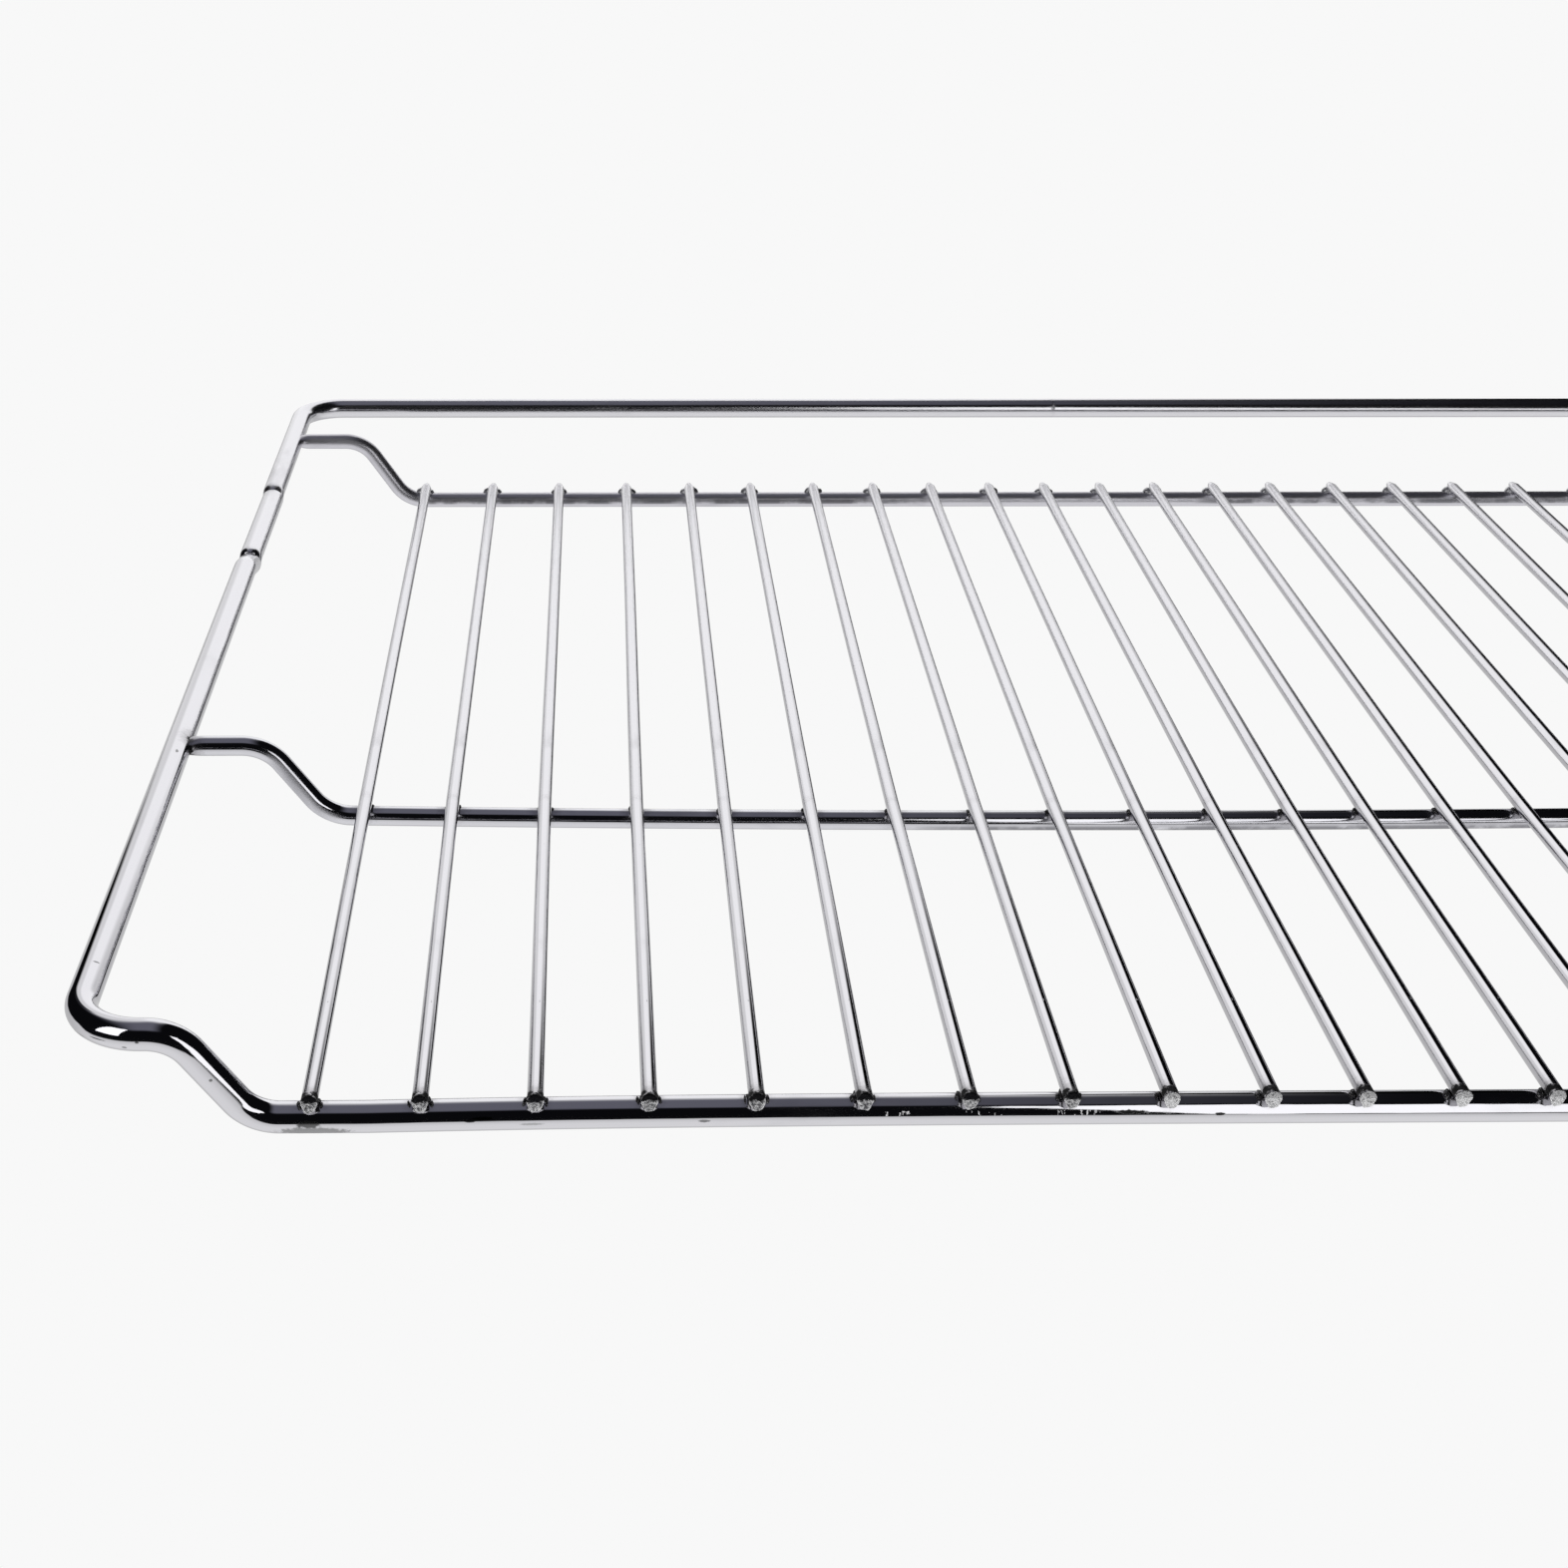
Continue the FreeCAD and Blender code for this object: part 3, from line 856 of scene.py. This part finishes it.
pieces = [outer_frame(),
          cross_rail("middle_rail", MIDDLE_RAIL_Y, MIDDLE_RAIL_SHOULDER, 1.0, RAIL_CHROME),
          cross_rail("back_rail", BACK_RAIL_Y, BACK_RAIL_SHOULDER, 0.0, BACK_RAIL_CHROME)]
pieces += [grid_wire(number, node) for number, node in enumerate(WIRE_NODES, 1)]
pieces += [
    crossing_welds("front_rail_welds", FRONT_Y, 1.3, -0.1, (0.45, 1.2, 0.6), 0.5, 11, BURNT_WELD, bow=1.0),
    crossing_welds("front_rail_flash", FRONT_Y - 0.85 * MM, 1.95, -0.1, (0.30, 0.8, 0.80), 0.5, 19,
                   BURNT_WELD, bow=1.0, left_only=BRIGHT_WIRES),
    crossing_welds("middle_rail_welds", MIDDLE_RAIL_Y, 1.2, -0.15, (0.6, 1.1, 0.6), 0.6, 23,
                   BURNT_WELD, sag=1.0),
    crossing_welds("back_rail_welds", BACK_RAIL_Y + 0.5 * MM, 1.05, -0.2, (1.7, 1.4, 1.5), 0.10, 37,
                   PLATED_WELD)]
for piece in pieces:
    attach(piece, "root")
bpy.data.objects.remove(weld_spots)


# ---------------------------------------------------------------- floor, light and camera
PALE = 0.9387


def stage_piece(name, corners):
    mesh = bpy.data.meshes.new(name)
    mesh.from_pydata(corners, [], [tuple(range(len(corners)))])
    material = bpy.data.materials.new(name)
    material.use_nodes = True
    material.node_tree.nodes.clear()
    mesh.materials.append(material)
    piece = new_object(name, mesh)
    return piece, material.node_tree


def pale_floor():
    """A plain pale floor, lit evenly; the chrome mirrors the room's own floor."""
    low, reach = -0.0002, 4
    _, tree = stage_piece("pale_floor", [
        (-reach, -reach, low), (reach, -reach, low), (reach, reach, low), (-reach, reach, low)])
    glow = add_node(tree, "ShaderNodeEmission", {"Color": (PALE, PALE, PALE, 1), "Strength": 1.0})
    clear = add_node(tree, "ShaderNodeBsdfTransparent")
    path = add_node(tree, "ShaderNodeLightPath").outputs
    mirrored = math_of(tree, "MAXIMUM", path["Is Glossy Ray"], path["Is Shadow Ray"])
    from_below = add_node(tree, "ShaderNodeNewGeometry").outputs["Backfacing"]
    unseen = math_of(tree, "MAXIMUM", mirrored, from_below)
    shown = add_node(tree, "ShaderNodeMixShader", {0: unseen, 1: glow.outputs[0], 2: clear.outputs[0]})
    add_node(tree, "ShaderNodeOutputMaterial", {0: shown.outputs[0]})


def glowing_sheet(name, corners):
    """A sheet that the chrome mirrors, and that neither the camera nor a shadow shows."""
    sheet, tree = stage_piece(name, corners)
    sheet.visible_camera = sheet.visible_shadow = False
    glow = add_node(tree, "ShaderNodeEmission", {"Color": (1, 1, 1, 1)})
    add_node(tree, "ShaderNodeOutputMaterial", {0: glow.outputs[0]})
    return tree, glow.inputs["Strength"]


def white_backdrop():
    """A white sheet behind the rack, bright in the middle and falling off to its sides."""
    left, right, bottom, top, far = -0.72, 0.42, -0.02, 0.85, 0.70
    tree, strength = glowing_sheet("white_backdrop", [
        (left, far, bottom), (right, far, bottom), (right, far, top), (left, far, top)])
    across, _, up = parts_of(tree, place_of(tree))
    slant = add_share(tree, across, up, 0.406)
    fall = math_of(tree, "ADD", ramp_of(tree, across, -0.68, -0.58, 0.0, 0.74),
                   ramp_of(tree, across, -0.46, -0.31, 0.0, 0.26))
    feed(tree, strength, product(tree, fall, ramp_of(tree, slant, 0.43, 0.34),
                                 ramp_of(tree, across, 0.06, 0.28, 1.0, 0.66), 1.2))


def near_reflector():
    """A bright reflector close to the camera's right, standing askew, that the front bends mirror."""
    near = -0.47
    outline = [
        (0.043, -0.092), (0.200, -0.080), (0.560, -0.060), (0.600, -0.010), (0.260, 0.150),
        (0.110, 0.325), (-0.006, 0.300), (-0.014, 0.235), (0.002, 0.130), (0.018, 0.003)]
    tree, strength = glowing_sheet("near_reflector", [(x, near, z) for x, z in outline])
    feed(tree, strength, 1.45)


def studio_room():
    """A dim room for the chrome to mirror: pale below, a grey ceiling, a glow above the backdrop."""
    world = bpy.data.worlds.new("studio_room")
    bpy.context.scene.world = world
    world.use_nodes = True
    tree = world.node_tree
    tree.nodes.clear()
    x, y, z = parts_of(tree, add_node(tree, "ShaderNodeTexCoord").outputs["Generated"])
    overhead = product(tree, ramp_of(tree, add_share(tree, z, y, 0.35), 0.53, 0.74),
                       ramp_of(tree, x, 0.33, 0.02), ramp_of(tree, x, -0.52, -0.18))
    colour = mix_colour(tree, overhead, (0.004, 0.004, 0.005, 1), (0.15, 0.15, 0.185, 1))
    above = product(tree, ramp_of(tree, z, 0.95, 0.62), ramp_of(tree, z, 0.45, 0.6),
                    ramp_of(tree, y, 0.15, 0.5), ramp_of(tree, x, -0.42, -0.28),
                    ramp_of(tree, x, 0.30, 0.10))
    colour = mix_colour(tree, above, colour, (1.1, 1.1, 1.1, 1))
    # The brink of the pale ground lies lower to the front and far right, and higher to the near right.
    brink = ramp_of(tree, y, 0.2, -0.3, -0.06, -0.35)
    far_right = product(tree, ramp_of(tree, x, 0.12, 0.42), ramp_of(tree, y, 0.1, 0.5))
    brink = add_share(tree, brink, far_right, -0.22)
    near_right = product(tree, ramp_of(tree, x, 0.5, 0.75), ramp_of(tree, y, 0.0, -0.4))
    brink = add_share(tree, brink, near_right, 0.08)
    below = ramp_of(tree, math_of(tree, "SUBTRACT", z, brink), 0.03, -0.05)
    ground = mix_colour(tree, ramp_of(tree, z, -0.35, -0.85), (0.76, 0.76, 0.76, 1), (0.95, 0.95, 0.95, 1))
    ground = mix_colour(tree, ramp_of(tree, y, 0.0, 0.6), ground, (0.62, 0.62, 0.62, 1))
    colour = mix_colour(tree, below, colour, ground)
    seen = add_node(tree, "ShaderNodeLightPath").outputs["Is Camera Ray"]
    colour = mix_colour(tree, seen, colour, (PALE, PALE, PALE, 1))
    back = add_node(tree, "ShaderNodeBackground", {"Color": colour, "Strength": 1.0})
    add_node(tree, "ShaderNodeOutputWorld", {0: back.outputs[0]})


def soft_panel(name, left, right, low, high, brightness):
    """An upright soft light between two places on the floor plan, facing the rack."""
    start, end, up = Vector((*left, low)), Vector((*right, low)), Vector((0, 0, 1))
    along, width, height = (end - start).normalized(), (end - start).length, high - low
    light = bpy.data.lights.new(name, "AREA")
    light.shape, light.size, light.size_y = "RECTANGLE", width, height
    light.energy = brightness * math.pi * width * height
    panel = new_object(name, light)
    facing = Matrix((along, up, along.cross(up))).transposed()
    panel.matrix_world = Matrix.Translation((start + end) / 2 + up * height / 2) @ facing.to_4x4()
    panel.visible_camera = False


def photo_camera():
    """The camera at its place in metres, with its turns in degrees and the rest in pixels."""
    picture, focal, across, down = 1572, 2525.3, 640.4, 782.2
    pitch, yaw, roll = (math.radians(a) for a in (24.384, -1.125, -0.286))
    place = Vector((-0.14166, -0.56032, 0.23629))
    look = Matrix(((1, 0, 0), (0, -math.sin(pitch), -math.cos(pitch)),
                   (0, math.cos(pitch), -math.sin(pitch))))
    turn = Matrix(((math.cos(yaw), math.sin(yaw), 0), (-math.sin(yaw), math.cos(yaw), 0), (0, 0, 1)))
    lean = Matrix(((math.cos(roll), math.sin(roll), 0), (-math.sin(roll), math.cos(roll), 0), (0, 0, 1)))
    rows = lean @ look @ turn
    axes = Matrix((rows[0], -rows[1], -rows[2])).transposed()
    data = bpy.data.cameras.new("photo_camera")
    data.sensor_width = 36.0
    data.lens = focal / picture * data.sensor_width
    data.shift_x, data.shift_y = (picture / 2 - across) / picture, (down - picture / 2) / picture
    data.clip_start, data.clip_end = 0.01, 50.0
    camera = new_object("photo_camera", data)
    camera.matrix_world = Matrix.Translation(place) @ axes.to_4x4()
    bpy.context.scene.camera = camera


pale_floor()
studio_room()
white_backdrop()
near_reflector()
soft_panel("left_softbox", (-1.24, -0.60), (-0.85, -1.09), 0.20, 1.50, 1.6)
photo_camera()
bpy.context.scene.view_settings.view_transform = "Standard"
